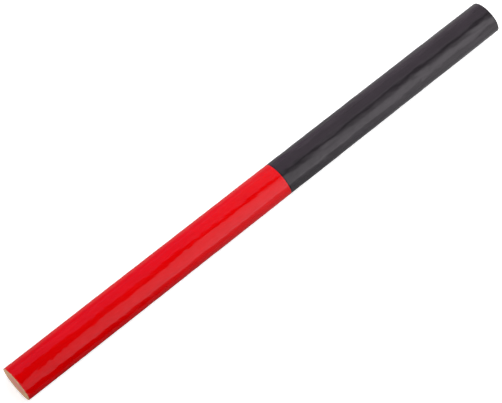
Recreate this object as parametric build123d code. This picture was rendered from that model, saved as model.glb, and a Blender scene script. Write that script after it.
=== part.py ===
from build123d import *
import os

# A two-colour carpenter's pencil, unsharpened: two wooden slats glued round a flat red lead and a
# flat graphite lead, shaped to an oval and lacquered red over one half and black over the other.
#
# Millimetres. The pencil lies on its broad side with its length along X, its width along Y and its
# thickness along Z. The origin is the middle of the pencil, on its centre line. The red end is at
# -X and the black end at +X. Left and right are as seen from the red end, so left is +Y.

# Driving dimensions
LENGTH = 180.0               # from sawn end to sawn end
WIDTH = 11.0                 # across the oval's broad way
THICKNESS = 7.2              # across the oval's narrow way
RED_LENGTH = 94.8            # from the red end to the seam between the two colours
LACQUER = 0.12               # thickness of the cured lacquer coats
GLUE = 0.10                  # thickness of the glue line between the two slats
LEAD_WIDTH = 5.0             # both leads have the same flat section
LEAD_THICKNESS = 2.2
LEAD_CORNER_RADIUS = 0.4     # on the four long corners of each lead
BLACK_END_ROUNDING = 0.4     # the black end's edge is eased, the red end's edge is left sharp

# Places along the pencil, worked out from the dimensions above
RED_END_X = -LENGTH / 2
BLACK_END_X = LENGTH / 2
SEAM_X = RED_END_X + RED_LENGTH


def oval_bar(inset):
    """A full-length oval bar, drawn in by inset all round, with the edge of its black end eased."""
    section = Plane.YZ.offset(RED_END_X) * Ellipse(WIDTH / 2 - inset, THICKNESS / 2 - inset)
    bar = extrude(section, amount=LENGTH)
    black_end_edge = bar.faces().sort_by(Axis.X)[-1].edges()
    return fillet(black_end_edge, BLACK_END_ROUNDING)


def stretch(start_x, end_x):
    """A block that is wider and thicker than the pencil, from start_x to end_x."""
    block = Box(end_x - start_x, 2 * WIDTH, 2 * THICKNESS, align=(Align.MIN, Align.CENTER, Align.CENTER))
    return Pos(start_x, 0, 0) * block


def lead(start_x, end_x):
    """A flat lead with rounded long corners. It fills the grooves of both slats."""
    section = Plane.YZ.offset(start_x) * RectangleRounded(LEAD_WIDTH, LEAD_THICKNESS, LEAD_CORNER_RADIUS)
    return extrude(section, amount=end_x - start_x)


def slat(core, groove_former):
    """The upper half of the wood, from the glue line up, with a groove for half of the lead."""
    half = Box(LENGTH, WIDTH, THICKNESS, align=(Align.CENTER, Align.CENTER, Align.MIN))
    return (core & Pos(0, 0, GLUE / 2) * half) - groove_former


def glue_line(core, groove_former):
    """The glue on the left of the lead, from the lead's side out to the lacquer."""
    half = Box(LENGTH, WIDTH, GLUE, align=(Align.CENTER, Align.MIN, Align.CENTER))
    return (core & half) - groove_former


outside = oval_bar(0)
core = oval_bar(LACQUER)
skin = outside - core
both_leads = lead(RED_END_X, BLACK_END_X)
upper_slat = slat(core, both_leads)
left_glue_line = glue_line(core, both_leads)

parts = {
    "upper_slat": upper_slat,
    "lower_slat": mirror(upper_slat, about=Plane.XY),
    "red_lead": lead(RED_END_X, SEAM_X),
    "graphite_lead": lead(SEAM_X, BLACK_END_X),
    "left_glue_line": left_glue_line,
    "right_glue_line": mirror(left_glue_line, about=Plane.XZ),
    "red_lacquer": skin & stretch(RED_END_X, SEAM_X),
    "black_lacquer": skin & stretch(SEAM_X, BLACK_END_X),
}

os.makedirs("parts", exist_ok=True)
for name, shape in parts.items():
    export_step(shape, f"parts/{name}.step")
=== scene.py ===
"""Looks for the two-colour carpenter's pencil: fine meshes, procedural materials, studio and camera."""

import math

import bmesh
import bpy
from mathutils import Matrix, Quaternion, Vector, noise


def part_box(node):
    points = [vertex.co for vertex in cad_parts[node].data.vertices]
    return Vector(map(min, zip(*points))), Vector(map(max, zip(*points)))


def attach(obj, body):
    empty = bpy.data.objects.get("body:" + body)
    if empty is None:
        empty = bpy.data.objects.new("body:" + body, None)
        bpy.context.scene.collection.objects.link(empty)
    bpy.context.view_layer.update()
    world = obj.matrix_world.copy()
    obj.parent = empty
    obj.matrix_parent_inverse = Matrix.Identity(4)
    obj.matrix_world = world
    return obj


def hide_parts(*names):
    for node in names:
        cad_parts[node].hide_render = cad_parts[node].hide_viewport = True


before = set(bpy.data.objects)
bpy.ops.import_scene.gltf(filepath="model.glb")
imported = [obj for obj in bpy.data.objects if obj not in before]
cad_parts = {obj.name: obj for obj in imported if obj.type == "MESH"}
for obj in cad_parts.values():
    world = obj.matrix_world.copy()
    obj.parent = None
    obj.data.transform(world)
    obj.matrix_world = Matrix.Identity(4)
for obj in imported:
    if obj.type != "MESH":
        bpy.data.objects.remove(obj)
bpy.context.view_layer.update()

MM = 0.001
QUARTER_TURN = math.pi / 2

# Sizes and places, read from the frame
red_low, red_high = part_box("red_lacquer")
_, black_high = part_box("black_lacquer")
slat_low, slat_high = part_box("upper_slat")
_, lead_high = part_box("red_lead")
HALF_WIDTH = red_high.y
HALF_THICKNESS = red_high.z
RED_END = red_low.x
SEAM = red_high.x
BLACK_END = black_high.x
LACQUER = HALF_THICKNESS - slat_high.z
GLUE_HALF = slat_low.z
LEAD_HALF_WIDTH = lead_high.y
LEAD_HALF_THICKNESS = lead_high.z

# Sizes that the frame's boxes don't show
LEAD_CORNER = 0.4 * MM          # rounded long corners of the leads
BLACK_END_ROUNDING = 0.4 * MM   # eased edge of the black end
LIP = 0.03 * MM                 # softening of the lacquer's edges
CHIPPING = 0.25 * MM            # scale of the chips in the lacquer's sawn edge
CHIP_LEVEL = 0.42               # how high the chips' noise is where they start
THINNED = 3 * MM                # how far from the sawn end the lacquer starts to thin out
THIN_END = 0.07 * MM            # how much thinner it is at the sawn end
WOOD_TEAR = 0.05 * MM           # how deep the saw tore the wood
LEAD_SCORE = 0.03 * MM          # how deep it scored the leads
SAW_Y, SAW_Z = 0.87, 0.5        # direction of its strokes across the ends
SAW_TURN = 0.52                 # the same direction as a turn in radians, for the materials

# Ripples in the coats from the shaping of the wood: depth, length along, width across (mm), and a seed
RED_RIPPLES = (0.034, 12, 3.2, 0), (0.022, 4.5, 2.0, 40), (0.028, 1.6, 1.1, 80)
BLACK_RIPPLES = (0.020, 9, 3.2, 5.5), (0.053, 4.5, 1.3, 47.5), (0.026, 1.6, 1.1, 83.3)
NOISE_TOP = 0.45                # about the highest value of the ripples' noise, where there is no dip

# How finely the meshes are divided
RING = 0.4 * MM                 # spacing of the points along the outside of a coat
COAT_ROUND = 160                # steps round a coat
LENGTHWISE = 40                 # steps along a slat, and along the inside of a coat
LEAD_LENGTHWISE = 24            # steps along a lead
COAT_EASED = 8                  # steps round the eased edge of the black coat
SLAT_EASED = 6                  # steps round the eased edge of the slats
END_ROWS = 14                   # steps across a sawn end of a slat or a lead
FLANK = 22                      # steps over the wood beside the lead
GROOVE_SIDE = 6                 # steps up the side of the groove
CORNER = 4                      # steps round a long corner of a lead or a groove
GROOVE_TOP = 20                 # steps over half of the top of the groove
LEAD_TOP = 36                   # steps over the flat of a lead

# The studio, in metres. Brightness is as seen, where 1 is white.
FLOOR_SIZE = 12.0               # reaches past every view
FLOOR_GLOW = 0.7                # added to the floor's brightness near the pencil, for the camera alone; painted light that whites out its shading
FLOOR_SHINE = 0.9               # brightness of the floor's glow, a painted reflection, where the lacquer reflects it at its brightest
ROOM = 0.005                    # brightness of the unlit room
CEILING = 0.40                  # height of the overhead lights that the lacquer reflects
NEAR_SIDE = -0.70               # y of the upright cards on the near side, -Y
FAR_SIDE = 0.80                 # y of the upright card on the far side, +Y

# The camera
AZIMUTH = math.radians(-60.40)
ELEVATION = math.radians(66.25)
ROLL = math.radians(20.13)      # so that the pencil lies corner to corner
DISTANCE = 502 * MM
AIM_X = (RED_END + BLACK_END) / 2 - 5.86 * MM
AIM_Y = -0.15 * MM
LENS = 128                      # focal length in millimetres, for the sensor's width below
SENSOR_WIDTH = 36


# ---------------------------------------------------------------- meshes


def steps(start, end, count):
    """count + 1 evenly spaced values from start to end."""
    return [start + (end - start) * i / count for i in range(count + 1)]


def grid_faces(rows, columns, first=0, closed=False):
    """Quads of a grid whose points run along each row in turn. A closed grid joins each row's ends."""
    faces = []
    for row in range(rows - 1):
        for column in range(columns if closed else columns - 1):
            a = first + row * columns + column
            b = first + row * columns + (column + 1) % columns
            faces.append((a, b, b + columns, a + columns))
    return faces


def add_piece(name, patches, node, material):
    """Joins grids of points into one closed, smooth-shaded mesh that stands for a CAD node.

    Each patch is (rows of points, whether each row is a closed loop)."""
    points = []
    faces = []
    for rows, closed in patches:
        faces += grid_faces(len(rows), len(rows[0]), len(points), closed)
        points += [point for row in rows for point in row]
    mesh = bpy.data.meshes.new(name)
    mesh.from_pydata(points, [], faces)
    work = bmesh.new()
    work.from_mesh(mesh)
    bmesh.ops.remove_doubles(work, verts=work.verts, dist=0.0002 * MM)
    bmesh.ops.recalc_face_normals(work, faces=work.faces)
    work.to_mesh(mesh)
    work.free()
    mesh.polygons.foreach_set("use_smooth", [True] * len(mesh.polygons))
    mesh.set_sharp_from_angle(angle=math.radians(40))
    mesh.materials.append(material)
    piece = bpy.data.objects.new(name, mesh)
    bpy.context.scene.collection.objects.link(piece)
    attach(piece, "root")
    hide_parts(node)
    return piece


def relief(x, y, z, ripples):
    """How far the lacquer lies below the true oval."""
    dip = 0
    for depth, along, across, seed in ripples:
        spot = Vector((x / MM / along, y / MM / across, z / MM / across + seed))
        dip += depth * (NOISE_TOP - noise.noise(spot))
    return MM * max(0, dip)


def chip(angle, from_end):
    """How far the lacquer's sawn edge is broken back, at an angle round the pencil."""
    outwards = Vector((math.cos(angle), math.sin(angle), 0))
    ragged = noise.noise(outwards * 9 + Vector((0, 0, 3)))
    fine = noise.noise(outwards * 40 + Vector((0, 0, 10)))
    broken = CHIPPING * max(0, ragged - CHIP_LEVEL) + LIP * 0.6 * abs(fine)
    return broken * max(0, 1 - from_end / MM)


def coat_section(start, end, rounding):
    """(x, inset, whether outside) all round a coat's wall, along the inside and back along the outside."""
    edge = max(rounding, LIP)
    inside = [(x, LACQUER, False) for x in steps(end - rounding, start, LENGTHWISE)]
    outside = [(x, 0, True) for x in steps(start + LIP, end - edge, round((end - start) / RING))]
    start_edge = [(start, LIP, True), (start + LIP * 0.3, LIP * 0.3, True)]
    if not rounding:
        return inside + start_edge + outside
    end_edge = []
    for turn in steps(0, QUARTER_TURN, COAT_EASED)[1:]:
        end_edge.append((end - rounding * (1 - math.sin(turn)), rounding * (1 - math.cos(turn)), True))
    end_inside = [(x, inset + LACQUER, False) for x, inset, _ in reversed(end_edge)]
    return inside + start_edge + outside + end_edge + end_inside


def coat(name, node, material, ripples, start, end, rounding=0, sawn_start=False):
    """A closed skin of lacquer between two places along the pencil. It thins out towards a sawn start."""
    rows = []
    for x, inset, outside in coat_section(start, end, rounding):
        whole = min(1, (x - start) / THINNED) if sawn_start else 1
        row = []
        for angle in steps(0, 2 * math.pi, COAT_ROUND)[:-1]:
            y = (HALF_WIDTH - inset) * math.cos(angle)
            z = (HALF_THICKNESS - inset) * math.sin(angle)
            dip = relief(x, y, z, ripples) * whole + THIN_END * (1 - whole) ** 2 if outside else 0
            shift = chip(angle, x - start) if sawn_start else 0
            outwards = Vector((0, y / HALF_WIDTH**2, z / HALF_THICKNESS**2)).normalized()
            row.append(Vector((x + shift, y, z)) - outwards * dip)
        rows.append(row)
    return add_piece(name, [(rows + rows[:1], True)], node, material)


def sawn(x, y, z, seed, depth):
    """A point. On a sawn end it is cut back by up to depth, where the saw tore the grain."""
    if RED_END + 0.001 * MM < x < BLACK_END - 0.001 * MM:
        return Vector((x, y, z))
    along = (y * SAW_Y + z * SAW_Z) / MM + 0.02 * (y / MM) ** 2
    across = (z * SAW_Y - y * SAW_Z) / MM
    strokes = noise.noise(Vector((along / 3.5, across / 0.45, seed)))
    fuzz = noise.noise(Vector((y / MM / 0.3, z / MM / 0.3, seed + 5)))
    cut = depth * (0.5 + 0.35 * strokes + 0.15 * fuzz)
    return Vector((x + math.copysign(cut, -x), y, z))


def sawn_row(x, outline, seed, depth, upwards=1):
    """The (y, z) points of an outline as a row of points at x, sawn where x is an end."""
    return [sawn(x, y, z * upwards, seed, depth) for y, z in outline]


def slat_section(inset):
    """(inner, outer): matching (y, z) points of the upper slat's section, drawn in by inset outside."""
    half_width = HALF_WIDTH - LACQUER - inset
    half_thickness = HALF_THICKNESS - LACQUER - inset
    tip = math.asin(GLUE_HALF / half_thickness)
    shoulder = math.acos((LEAD_HALF_WIDTH + LEAD_CORNER) / half_width)
    corner = math.acos((LEAD_HALF_WIDTH - LEAD_CORNER) / half_width)
    angles = steps(tip, shoulder, FLANK)
    angles += steps(shoulder, corner, GROOVE_SIDE + CORNER)[1:]
    angles += steps(corner, QUARTER_TURN, GROOVE_TOP)[1:]
    outer = [(half_width * math.cos(a), half_thickness * math.sin(a)) for a in angles]
    tip_y = outer[0][0]
    shoulder_y = outer[FLANK][0]
    inner = []
    for y, _ in outer[:FLANK + 1]:
        share = (y - shoulder_y) / (tip_y - shoulder_y)
        inner.append((LEAD_HALF_WIDTH + (tip_y - LEAD_HALF_WIDTH) * share, GLUE_HALF))
    groove_side = steps(GLUE_HALF, LEAD_HALF_THICKNESS - LEAD_CORNER, GROOVE_SIDE)[1:]
    inner += [(LEAD_HALF_WIDTH, z) for z in groove_side]
    for turn in steps(0, QUARTER_TURN, CORNER)[1:]:
        y = LEAD_HALF_WIDTH - LEAD_CORNER * (1 - math.cos(turn))
        z = LEAD_HALF_THICKNESS - LEAD_CORNER * (1 - math.sin(turn))
        inner.append((y, z))
    groove_top = steps(LEAD_HALF_WIDTH - LEAD_CORNER, 0, GROOVE_TOP)[1:]
    inner += [(y, LEAD_HALF_THICKNESS) for y in groove_top]
    return [side + [(-y, z) for y, z in reversed(side[:-1])] for side in (inner, outer)]


def slat_end(x, inset, upwards, seed):
    """Rows of points over a slat's end, from its flat side and groove out to the oval."""
    rows = []
    for share in steps(0, 1, END_ROWS):
        between = []
        for (y0, z0), (y1, z1) in zip(*slat_section(inset)):
            between.append((y0 + (y1 - y0) * share, z0 + (z1 - z0) * share))
        rows.append(sawn_row(x, between, seed, WOOD_TEAR, upwards))
    return rows


def slat(name, node, material, upwards, seed):
    """One grooved half of the wood, upwards 1 or -1, with sawn ends."""
    places = [(x, 0) for x in steps(RED_END, BLACK_END - BLACK_END_ROUNDING, LENGTHWISE)]
    for turn in steps(0, QUARTER_TURN, SLAT_EASED)[1:]:
        x = BLACK_END - BLACK_END_ROUNDING * (1 - math.sin(turn))
        places.append((x, BLACK_END_ROUNDING * (1 - math.cos(turn))))
    sides = []
    for x, inset in places:
        inner, outer = slat_section(inset)
        sides.append(sawn_row(x, outer + inner[-2:0:-1], seed, WOOD_TEAR, upwards))
    patches = [(sides, True)]
    for x, inset in (places[0], places[-1]):
        patches.append((slat_end(x, inset, upwards, seed), False))
    return add_piece(name, patches, node, material)


def lead_section():
    """Rows of (y, z) points that fill the leads' rounded section."""
    flat = LEAD_HALF_WIDTH - LEAD_CORNER
    corner = []
    for turn in steps(0, QUARTER_TURN, CORNER):
        y = flat + LEAD_CORNER * math.cos(turn)
        z = LEAD_HALF_THICKNESS - LEAD_CORNER * (1 - math.sin(turn))
        corner.append((y, z))
    top = [(-y, z) for y, z in corner]
    top += [(y, LEAD_HALF_THICKNESS) for y in steps(-flat, flat, LEAD_TOP)[1:-1]]
    top += corner[::-1]
    return [[(y, z * share) for y, z in top] for share in steps(-1, 1, END_ROWS)]


def lead(name, node, material, start, end, seed):
    """A flat lead. Its sawn end is scored, and its other end is hidden at the seam."""
    section = lead_section()
    outline = section[0] + [row[-1] for row in section[1:-1]]
    outline += section[-1][::-1] + [row[0] for row in section[-2:0:-1]]
    sides = [sawn_row(x, outline, seed, LEAD_SCORE) for x in steps(start, end, LEAD_LENGTHWISE)]
    patches = [(sides, True)]
    for x in (start, end):
        patches.append(([sawn_row(x, row, seed, LEAD_SCORE) for row in section], False))
    return add_piece(name, patches, node, material)


# ---------------------------------------------------------------- material nodes


def linear(red, green, blue):
    """A colour given in everyday 0 to 255 values, as the linear values that the nodes take."""
    parts = [value / 255 for value in (red, green, blue)]
    return tuple(p / 12.92 if p <= 0.04045 else ((p + 0.055) / 1.055) ** 2.4 for p in parts) + (1,)


def add_node(tree, kind, inputs=None, **settings):
    """A new node with its settings, and with its inputs set to values or joined to sockets."""
    node = tree.nodes.new(kind)
    for key, value in settings.items():
        setattr(node, key, value)
    for key, value in (inputs or {}).items():
        if isinstance(value, bpy.types.NodeSocket):
            tree.links.new(value, node.inputs[key])
        else:
            node.inputs[key].default_value = value
    return node


def maths(tree, operation, a, b=0.0, clamp=False):
    """The result of one sum on two values or sockets."""
    return add_node(tree, "ShaderNodeMath", {0: a, 1: b}, operation=operation, use_clamp=clamp).outputs[0]


def fade(tree, value, start, end, low=0.0, high=1.0):
    """value, taken smoothly from low at start to high at end."""
    inputs = {"Value": value, "From Min": start, "From Max": end, "To Min": low, "To Max": high}
    return add_node(tree, "ShaderNodeMapRange", inputs, interpolation_type="SMOOTHSTEP").outputs[0]


def blend(tree, share, first, second):
    """The value first where share is 0, second where it is 1."""
    return add_node(tree, "ShaderNodeMix", {0: share, 2: first, 3: second}).outputs[0]


def blend_colours(tree, share, first, second):
    """The colour first where share is 0, second where it is 1."""
    inputs = {0: share, 6: first, 7: second}
    return add_node(tree, "ShaderNodeMix", inputs, data_type="RGBA").outputs[2]


def place(tree, scale=(1, 1, 1), turn=0.0, shift=(0, 0, 0)):
    """The place on the pencil in millimetres, turned about its length, times scale, plus shift."""
    position = add_node(tree, "ShaderNodeTexCoord").outputs["Object"]
    inputs = {"Vector": position, "Angle": turn}
    turned = add_node(tree, "ShaderNodeVectorRotate", inputs, rotation_type="X_AXIS").outputs[0]
    inputs = {"Vector": turned, "Scale": [s / MM for s in scale], "Location": shift}
    return add_node(tree, "ShaderNodeMapping", inputs).outputs[0]


def coordinates(tree):
    """The x, y and z of the place on the pencil, in millimetres."""
    return add_node(tree, "ShaderNodeSeparateXYZ", {0: place(tree)}).outputs


def speckle(tree, scale, detail=2.0, turn=0.0, shift=(0, 0, 0)):
    """Noise from 0 to 1, with scale cycles to the millimetre along each axis."""
    inputs = {"Vector": place(tree, scale, turn, shift), "Scale": 1.0, "Detail": detail}
    return add_node(tree, "ShaderNodeTexNoise", inputs).outputs["Fac"]


def bump(tree, height, distance, normal=None):
    """A bump of the given height in millimetres, on top of another."""
    inputs = {"Height": height, "Distance": distance * MM, "Strength": 1.0}
    if normal:
        inputs["Normal"] = normal
    return add_node(tree, "ShaderNodeBump", inputs).outputs[0]


def new_material(name):
    """(material, its node tree, its main shader)"""
    material = bpy.data.materials.new(name)
    material.use_nodes = True
    return material, material.node_tree, material.node_tree.nodes["Principled BSDF"]


def set_shader(tree, shader, colour, roughness, normal, **values):
    """Joins a material's results to its main shader, and sets the shader's other inputs to values."""
    tree.links.new(colour, shader.inputs["Base Color"])
    tree.links.new(roughness, shader.inputs["Roughness"])
    tree.links.new(normal, shader.inputs["Normal"])
    for key, value in values.items():
        shader.inputs[key.replace("_", " ")].default_value = value


# ---------------------------------------------------------------- materials


def lacquer(name, colours, roughness, peel_height, ior, tint):
    """Lacquer over wood: faint grain, orange peel, and dry, frayed colour at the pencil's ends.

    colours are the light and dark tones of the coat, and its dry edge."""
    light, dark, dry = colours
    material, tree, shader = new_material(name)
    grain = speckle(tree, (0.05, 1.6, 1.6), 3)
    clouds = speckle(tree, (0.11, 0.2, 0.2), 2, shift=(3, 1, 2))
    tone = maths(tree, "ADD", maths(tree, "MULTIPLY", grain, 0.5), maths(tree, "MULTIPLY", clouds, 0.5))
    colour = blend_colours(tree, fade(tree, tone, 0.35, 0.65), light, dark)

    from_middle = maths(tree, "ABSOLUTE", coordinates(tree)[0])
    from_end = maths(tree, "SUBTRACT", BLACK_END / MM, from_middle)
    ragged = maths(tree, "ADD", from_end, maths(tree, "MULTIPLY", speckle(tree, (1.5, 1.5, 1.5), 3), 0.5))
    frayed = fade(tree, ragged, 0.5, 0.25)
    colour = blend_colours(tree, frayed, colour, dry)

    smear = speckle(tree, (0.3, 0.7, 0.7), 3, shift=(5, 5, 5))
    rough = fade(tree, smear, 0.3, 0.7, roughness * 0.8, roughness * 1.25)
    rough = maths(tree, "ADD", rough, maths(tree, "MULTIPLY", frayed, 0.3), clamp=True)

    peel = bump(tree, speckle(tree, (0.8, 0.9, 0.9), 1.5, shift=(9, 0, 0)), peel_height)
    lines = bump(tree, speckle(tree, (0.08, 3.2, 3.2), 2, shift=(0, 9, 0)), 0.0025, peel)
    set_shader(tree, shader, colour, rough, lines, IOR=ior, Specular_Tint=tint)
    return material


def red_lacquer():
    """Gloss red."""
    colours = linear(229, 0, 2), linear(222, 0, 1), linear(198, 84, 74)
    shine = (1, 0.8, 0.93, 1)
    return lacquer("red_lacquer", colours, roughness=0.07, peel_height=0.008, ior=1.5, tint=shine)


def black_lacquer():
    """Satin black."""
    colours = linear(42, 38, 42), linear(37, 34, 37), linear(66, 58, 56)
    shine = (1, 0.94, 1, 1)
    return lacquer("black_lacquer", colours, roughness=0.13, peel_height=0.012, ior=1.55, tint=shine)


def lead_dust(tree, colour):
    """Adds the red and grey dust that the saw dragged from the leads over the wood's ends."""
    x, y, z = coordinates(tree)
    beside = maths(tree, "SUBTRACT", maths(tree, "ABSOLUTE", y), LEAD_HALF_WIDTH / MM)
    above = maths(tree, "SUBTRACT", maths(tree, "ABSOLUTE", z), LEAD_HALF_THICKNESS / MM)
    gap = maths(tree, "MAXIMUM", beside, above)
    near = fade(tree, gap, 1.6, 0.0, 0.0, 0.75)
    streaks = fade(tree, speckle(tree, (0.1, 0.5, 4.0), 3, turn=0.5), 0.35, 0.7)
    dusty = maths(tree, "MULTIPLY", near, streaks)
    at_black_end = maths(tree, "GREATER_THAN", x, 0.0)
    dust = blend_colours(tree, at_black_end, linear(205, 118, 112), linear(96, 90, 86))
    return blend_colours(tree, dusty, colour, dust)


def slat_wood(name, pith, turn, seed):
    """Pale sawn limewood. pith is the (y, z) in millimetres that the growth rings curve round."""
    early, late = linear(204, 170, 134), linear(174, 134, 98)
    ray, pore, fibre = linear(226, 194, 158), linear(120, 84, 52), linear(232, 210, 176)
    ring_width = 1.7
    material, tree, shader = new_material(name)
    warp = maths(tree, "MULTIPLY", speckle(tree, (0.02, 0.35, 0.35), 2, shift=(seed, 0, 0)), 1.2)
    inputs = {0: place(tree, (0, 1, 1)), 1: (0, pith[0], pith[1])}
    radius = add_node(tree, "ShaderNodeVectorMath", inputs, operation="DISTANCE").outputs["Value"]
    ring = maths(tree, "FRACT", maths(tree, "DIVIDE", maths(tree, "ADD", radius, warp), ring_width))
    colour = blend_colours(tree, maths(tree, "POWER", ring, 4.0), early, late)

    rays = fade(tree, speckle(tree, (0.05, 0.9, 9.0), 2, turn=turn, shift=(seed, 2, 0)), 0.55, 0.8)
    colour = blend_colours(tree, maths(tree, "MULTIPLY", rays, 0.45), colour, ray)
    cells = {"Vector": place(tree, (0.12, 7, 7), shift=(seed, 0, 3)), "Scale": 1.0}
    pores = fade(tree, add_node(tree, "ShaderNodeTexVoronoi", cells).outputs["Distance"], 0.32, 0.12)
    colour = blend_colours(tree, maths(tree, "MULTIPLY", pores, 0.55), colour, pore)
    strokes = speckle(tree, (0.05, 0.35, 5.5), 3, turn=-SAW_TURN, shift=(0, seed, 0))
    colour = blend_colours(tree, fade(tree, strokes, 0.6, 0.8, 0.0, 0.5), colour, fibre)
    colour = lead_dust(tree, colour)

    rough = fade(tree, strokes, 0.2, 0.8, 0.62, 0.88)
    scored = bump(tree, strokes, 0.05)
    pitted = bump(tree, maths(tree, "MULTIPLY", pores, -1.0), 0.03, scored)
    set_shader(tree, shader, colour, rough, pitted, Specular_IOR_Level=0.25)
    return material


def red_marking_lead():
    """Wax and pigment, chalky where the saw went through it."""
    waxy, chalky, fresh = linear(196, 112, 108), linear(214, 150, 142), linear(176, 72, 70)
    material, tree, shader = new_material("red_marking_lead")
    strokes = speckle(tree, (0.05, 0.4, 6.0), 3, turn=-SAW_TURN)
    grit = speckle(tree, (5, 5, 5), 3, shift=(2, 2, 2))
    colour = blend_colours(tree, fade(tree, grit, 0.35, 0.7), waxy, chalky)
    colour = blend_colours(tree, fade(tree, strokes, 0.55, 0.75, 0.0, 0.7), colour, fresh)
    rough = fade(tree, grit, 0.3, 0.7, 0.5, 0.75)
    scored = bump(tree, strokes, 0.03)
    set_shader(tree, shader, colour, rough, bump(tree, grit, 0.012, scored), Specular_IOR_Level=0.35)
    return material


def graphite():
    """Fired clay and graphite, burnished by the saw along its strokes."""
    dull, worn, burnished = linear(66, 66, 69), linear(92, 92, 95), linear(132, 133, 137)
    material, tree, shader = new_material("graphite")
    strokes = speckle(tree, (0.05, 0.4, 7.0), 3, turn=-SAW_TURN)
    grit = speckle(tree, (6, 6, 6), 3, shift=(4, 1, 2))
    colour = blend_colours(tree, fade(tree, grit, 0.3, 0.7), dull, worn)
    colour = blend_colours(tree, fade(tree, strokes, 0.6, 0.8, 0.0, 0.6), colour, burnished)
    rough = fade(tree, strokes, 0.3, 0.7, 0.5, 0.28)
    scored = bump(tree, strokes, 0.02)
    set_shader(tree, shader, colour, rough, bump(tree, grit, 0.006, scored), Metallic=0.35)
    return material


def wood_glue():
    """Cured glue, amber, with wood dust in it."""
    amber, dusty = linear(176, 138, 84), linear(206, 176, 126)
    material, tree, shader = new_material("wood_glue")
    dust = speckle(tree, (4, 4, 4), 3)
    colour = blend_colours(tree, fade(tree, dust, 0.4, 0.7), amber, dusty)
    rough = fade(tree, dust, 0.3, 0.7, 0.35, 0.6)
    set_shader(tree, shader, colour, rough, bump(tree, dust, 0.01), Specular_IOR_Level=0.5)
    return material


# ---------------------------------------------------------------- pencil


def build_pencil():
    """The two coats, the two slats, the two leads, and a better material for the CAD's glue lines."""
    red = red_lacquer()
    black = black_lacquer()
    coat("red_lacquer_coat", "red_lacquer", red, RED_RIPPLES, RED_END, SEAM, sawn_start=True)
    coat("black_lacquer_coat", "black_lacquer", black, BLACK_RIPPLES, SEAM, BLACK_END, BLACK_END_ROUNDING)
    upper = slat_wood("upper_slat_wood", pith=(-9, 17), turn=1.1, seed=0)
    lower = slat_wood("lower_slat_wood", pith=(13, -15), turn=2.2, seed=20)
    slat("upper_slat_half", "upper_slat", upper, upwards=1, seed=11)
    slat("lower_slat_half", "lower_slat", lower, upwards=-1, seed=23)
    lead("red_lead_bar", "red_lead", red_marking_lead(), RED_END, SEAM, seed=31)
    lead("graphite_lead_bar", "graphite_lead", graphite(), SEAM, BLACK_END, seed=37)
    glue = wood_glue()
    for node in ("left_glue_line", "right_glue_line"):
        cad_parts[node].material_slots[0].material = glue


# ---------------------------------------------------------------- lights


def area_light(name, size, where, towards, strength, shape="RECTANGLE", reflected=True, lighting=True):
    """An area light, as its data. strength is its brightness as seen in a reflection.

    A light that isn't reflected only lights colours. One that isn't lighting only shows in reflections."""
    data = bpy.data.lights.new(name, "AREA")
    data.shape = shape
    data.size, data.size_y = size
    data.energy = strength * size[0] * size[1] * math.pi
    data.use_nodes = True
    light = bpy.data.objects.new(name, data)
    light.location = where
    light.rotation_mode = "QUATERNION"
    light.rotation_quaternion = (Vector(towards) - Vector(where)).to_track_quat("-Z", "Y")
    light.visible_camera = False
    light.visible_glossy = reflected
    light.visible_diffuse = lighting
    bpy.context.scene.collection.objects.link(light)
    return data


def overhead(name, size, where, strength, **kind):
    """An area light that faces straight down."""
    return area_light(name, size, where, (where[0], where[1], 0), strength, **kind)


def upright(name, size, where, strength, **kind):
    """An area light that stands beside the pencil and faces it."""
    return area_light(name, size, where, (where[0], 0, where[2]), strength, **kind)


def light_place(data):
    """(a light's node tree, the place on it as a vector, and its x, y and z)"""
    position = add_node(data.node_tree, "ShaderNodeNewGeometry").outputs["Position"]
    split = add_node(data.node_tree, "ShaderNodeSeparateXYZ", {0: position}).outputs
    return data.node_tree, position, split


def soften(data, hot, reach, edge=False):
    """Makes a light brightest at its hot place, fading to nothing at reach away from it.

    With edge, the side that is reflected next to the dark line also fades in, ever more slowly towards +X."""
    tree, position, split = light_place(data)
    offset = add_node(tree, "ShaderNodeVectorMath", {0: position, 1: hot}, operation="SUBTRACT").outputs[0]
    share = add_node(tree, "ShaderNodeVectorMath", {0: offset, 1: reach}, operation="DIVIDE").outputs[0]
    distance = add_node(tree, "ShaderNodeVectorMath", {0: share}, operation="LENGTH").outputs["Value"]
    glow = maths(tree, "SUBTRACT", 1.0, distance, clamp=True)
    if edge:
        edge_y = 0.04
        width = fade(tree, split[0], 0.12, 0.22, 0.02, 0.17)
        inward = maths(tree, "SUBTRACT", edge_y, split[1])
        glow = maths(tree, "MULTIPLY", glow, maths(tree, "DIVIDE", inward, width, clamp=True))
    tree.links.new(glow, tree.nodes["Emission"].inputs["Strength"])


def tint(data, start, end, bend=0.0):
    """Turns a light from rosy to cool along X. bend shifts the change towards +X away from the middle."""
    rosy = (0.66, 0.37, 0.71, 1)
    cool = (1, 0.87, 0.98, 1)
    tree, _, split = light_place(data)
    bent = maths(tree, "MULTIPLY", maths(tree, "MULTIPLY", split[1], split[1]), bend)
    share = fade(tree, maths(tree, "SUBTRACT", split[0], bent), start, end)
    tree.links.new(blend_colours(tree, share, rosy, cool), tree.nodes["Emission"].inputs["Color"])


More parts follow.
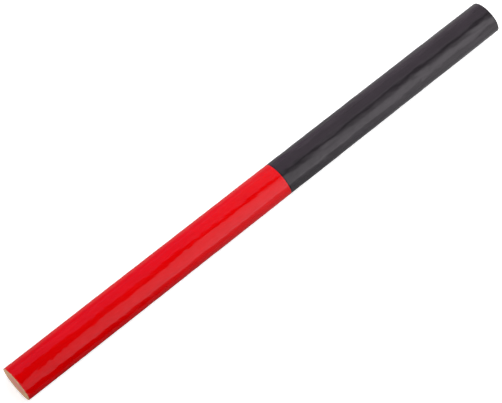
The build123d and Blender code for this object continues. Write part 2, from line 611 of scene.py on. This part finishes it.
def add_bands():
    """Two round lights overhead and two upright cards, which the lacquer reflects as its bright and dim
    bands, with a dark line between them that a faint card fills in a little."""
    size = (0.56, 0.56)
    key_dome = overhead("key_dome", size, (0.20, -0.24, CEILING), 1.5, shape="ELLIPSE")
    soften(key_dome, (0.33, -0.24, CEILING), (0.46, 0.7, 1), edge=True)
    side_card = upright("side_card", (1.10, 0.66), (0.60, NEAR_SIDE, 0.33), 1.3)
    soften(side_card, (0.52, NEAR_SIDE, 0.30), (0.38, 1, 1.2))

    size = (0.68, 0.68)
    dim_dome = overhead("dim_dome", size, (0.25, 0.45, CEILING), 0.40, shape="ELLIPSE")
    tint(dim_dome, 0.08, 0.20, bend=0.33)
    back_card = upright("back_card", (2.0, 0.50), (0.5, FAR_SIDE, 0.25), 1.1)
    soften(back_card, (0.75, FAR_SIDE, -0.05), (1.1, 9, 1.0))
    tint(back_card, 0.22, 0.42)

    overhead("gap_card", (0.5, 0.05), (0.42, 0.11, CEILING + 0.01), 0.36, lighting=False)


def add_plain_light():
    """Lights that bring out the colours and the ends without showing in the lacquer."""
    area_light("near_card", (0.5, 0.024), (-0.45, 0, 0.012), (0, 0, 0.012), 33.0, reflected=False)
    area_light("far_card", (0.5, 0.08), (0.45, 0, 0.045), (0, 0, 0), 6.0, reflected=False)
    overhead("sky", (2.4, 2.4), (0.1, 0.1, 0.9), 0.36, reflected=False)
    overhead("sun", (0.2, 0.2), (0.065, 0.03, 0.17), 1.75, reflected=False)
    area_light("window", (1.2, 0.4), (-0.02, 0.55, 0.30), (0, 0, 0), 0.5, reflected=False)
    area_light("lamp", (0.04, 0.04), (-0.06, 0.045, 0.045), (-0.06, 0, 0), 0.85, reflected=False)


def add_shine_for_other_views():
    """Lights beyond the red end and beside the red half, which the camera never sees reflected.

    They show in reflections from the sides and from the black end, and light nothing else."""
    key = overhead("left_key", (0.6, 0.5), (-0.36, -0.22, CEILING), 1.3, lighting=False)
    soften(key, (-0.06, -0.22, CEILING), (0.65, 0.6, 1))
    dim = overhead("left_dim", (0.6, 0.45), (-0.36, 0.38, CEILING), 0.5, lighting=False)
    soften(dim, (-0.06, 0.38, CEILING), (0.65, 0.6, 1))
    side = upright("left_side", (0.80, 0.40), (-0.38, NEAR_SIDE, 0.22), 0.9, lighting=False)
    soften(side, (0.0, NEAR_SIDE, 0.22), (0.9, 1, 0.3))
    end = area_light("left_end", (2.4, 0.8), (-1.0, 0, 0.60), (0, 0, 0.60), 0.7, lighting=False)
    soften(end, (-1.0, 0.8, 0.60), (1, 1.9, 0.5))


# ---------------------------------------------------------------- floor and room


def pale_floor():
    """A table top: pale to the camera, and dark to everything else, which is painted shade. It glows to the
    camera, which whites out its shading, and the lacquer reflects its glow as a painted reflection, weakest
    at the red end and brightest past the black end.
    """
    material, tree, shader = new_material("pale_floor")
    to_camera = add_node(tree, "ShaderNodeLightPath").outputs["Is Camera Ray"]
    clouds = speckle(tree, (0.002, 0.002, 0.002), 2)
    pale = blend_colours(tree, clouds, (0.72, 0.72, 0.72, 1), (0.78, 0.78, 0.78, 1))
    # Painted shade: the floor is dark to everything but the camera, so it bounces little light and the
    # lacquer reflects it as a shaded table.
    colour = blend_colours(tree, to_camera, (0.1, 0.1, 0.1, 1), pale)
    rough = fade(tree, clouds, 0.0, 1.0, 0.7, 0.8)
    set_shader(tree, shader, colour, rough, bump(tree, clouds, 0.01), Emission_Color=(1, 1, 1, 1))

    x, y, _ = coordinates(tree)
    # Painted reflection: a glow that the lacquer reflects, none at the red end and up to FLOOR_SHINE past the
    # black end. Beyond 6 mm on the +Y side it varies less along the pencil.
    near_shine = fade(tree, x, RED_END / MM, 2 * BLACK_END / MM, 0.0, FLOOR_SHINE)
    far_shine = maths(tree, "ADD", maths(tree, "MULTIPLY", near_shine, 0.4), 0.3)
    shine = blend(tree, fade(tree, y, 0.0, 6.0), near_shine, far_shine)
    length = add_node(tree, "ShaderNodeVectorMath", {0: place(tree)}, operation="LENGTH")
    from_middle = length.outputs["Value"]
    # Painted light to the camera: the glow whites out the floor's shading, from FLOOR_GLOW near the pencil up
    # to 1.0 far from it.
    white = fade(tree, from_middle, 1.5 * BLACK_END / MM, 4 * BLACK_END / MM, FLOOR_GLOW, 1.0)
    tree.links.new(blend(tree, to_camera, shine, white), shader.inputs["Emission Strength"])
    return material


def add_floor():
    """One square sheet under the pencil."""
    half = FLOOR_SIZE / 2
    outline = (-half, -half), (half, -half), (half, half), (-half, half)
    mesh = bpy.data.meshes.new("floor")
    mesh.from_pydata([(x, y, -HALF_THICKNESS) for x, y in outline], [], [(0, 1, 2, 3)])
    mesh.materials.append(pale_floor())
    floor = bpy.data.objects.new("floor", mesh)
    bpy.context.scene.collection.objects.link(floor)


def add_world():
    """White to the camera, and a dim room to everything else."""
    world = bpy.data.worlds.new("studio")
    world.use_nodes = True
    tree = world.node_tree
    output = tree.nodes["World Output"]
    room = add_node(tree, "ShaderNodeBackground", {"Color": (1, 1, 1, 1), "Strength": ROOM})
    seen = add_node(tree, "ShaderNodeBackground", {"Color": (1, 1, 1, 1), "Strength": 1.0})
    to_camera = add_node(tree, "ShaderNodeLightPath").outputs["Is Camera Ray"]
    both = add_node(tree, "ShaderNodeMixShader", {0: to_camera, 1: room.outputs[0], 2: seen.outputs[0]})
    tree.links.new(both.outputs[0], output.inputs["Surface"])
    bpy.context.scene.world = world


# ---------------------------------------------------------------- camera


def add_camera():
    """A long lens that looks down at the pencil from its red end."""
    back = Vector((
        math.sin(AZIMUTH) * math.cos(ELEVATION),
        -math.cos(AZIMUTH) * math.cos(ELEVATION),
        math.sin(ELEVATION),
    ))
    data = bpy.data.cameras.new("camera")
    data.lens = LENS
    data.sensor_width = SENSOR_WIDTH
    data.clip_start = 10 * MM
    data.clip_end = 20
    camera = bpy.data.objects.new("camera", data)
    camera.location = Vector((AIM_X, AIM_Y, 0)) + back * DISTANCE
    camera.rotation_mode = "QUATERNION"
    level = (-back).to_track_quat("-Z", "Y")
    camera.rotation_quaternion = level @ Quaternion((0, 0, 1), ROLL)
    bpy.context.scene.collection.objects.link(camera)
    bpy.context.scene.camera = camera


build_pencil()
add_world()
add_floor()
add_bands()
add_plain_light()
add_shine_for_other_views()
add_camera()
bpy.context.scene.view_settings.view_transform = "Standard"
